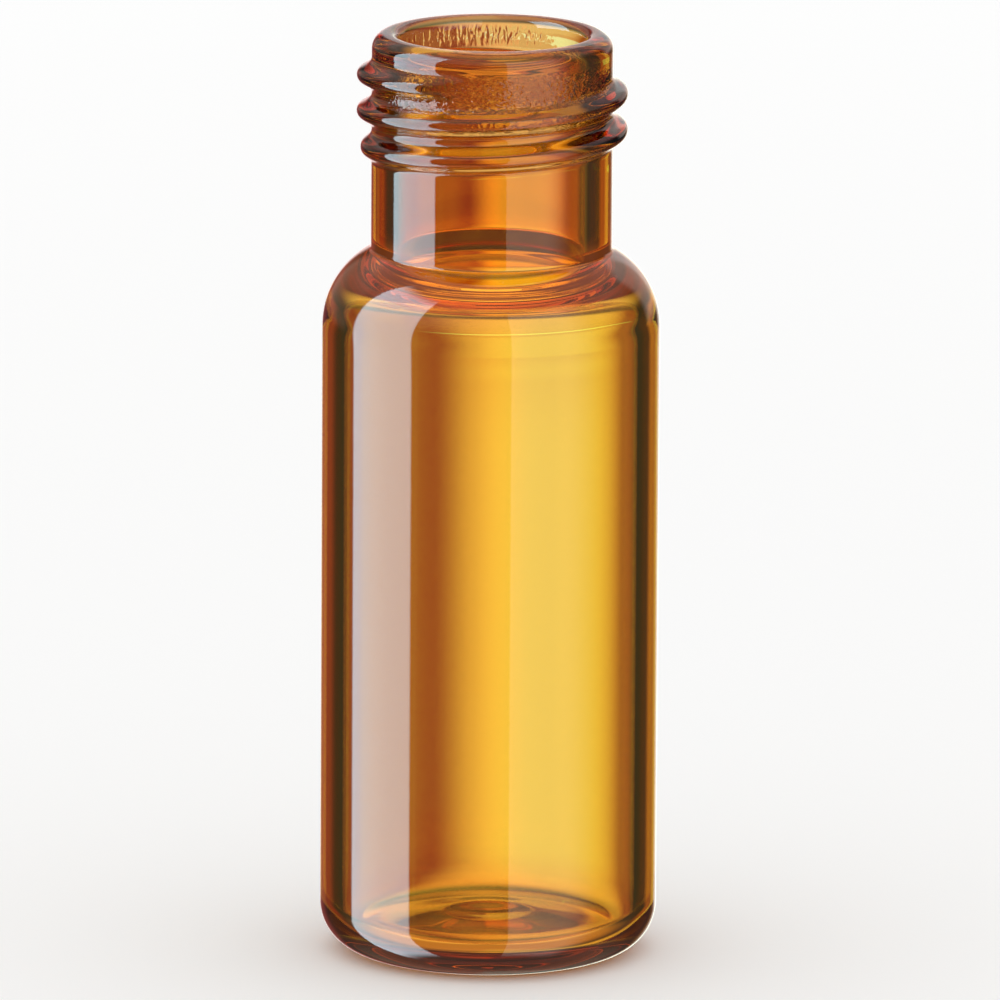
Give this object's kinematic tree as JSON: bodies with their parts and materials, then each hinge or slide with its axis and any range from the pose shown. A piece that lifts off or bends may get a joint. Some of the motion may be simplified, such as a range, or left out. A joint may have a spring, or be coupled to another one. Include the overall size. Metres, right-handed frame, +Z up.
{
  "type": "glass sample vial",
  "caption": "Small amber glass sample vial with a round flat-bottomed body, rounded shoulder, wide straight neck, rounded lip and an outside screw thread; open at the top, without its cap.",
  "frame": {"origin": "centre of the base, on the plane that the foot stands on", "axes": "+Z up along the vial's axis, from the foot to the mouth; X and Y across it, with the thread's upper end on the -Y side"},
  "size_m": [0.0116, 0.0116, 0.0321],
  "materials": {
    "glass": "clear amber, fire-polished"
  },
  "bodies": {
    "root": {"vial": "glass"}
  },
  "joints": []
}
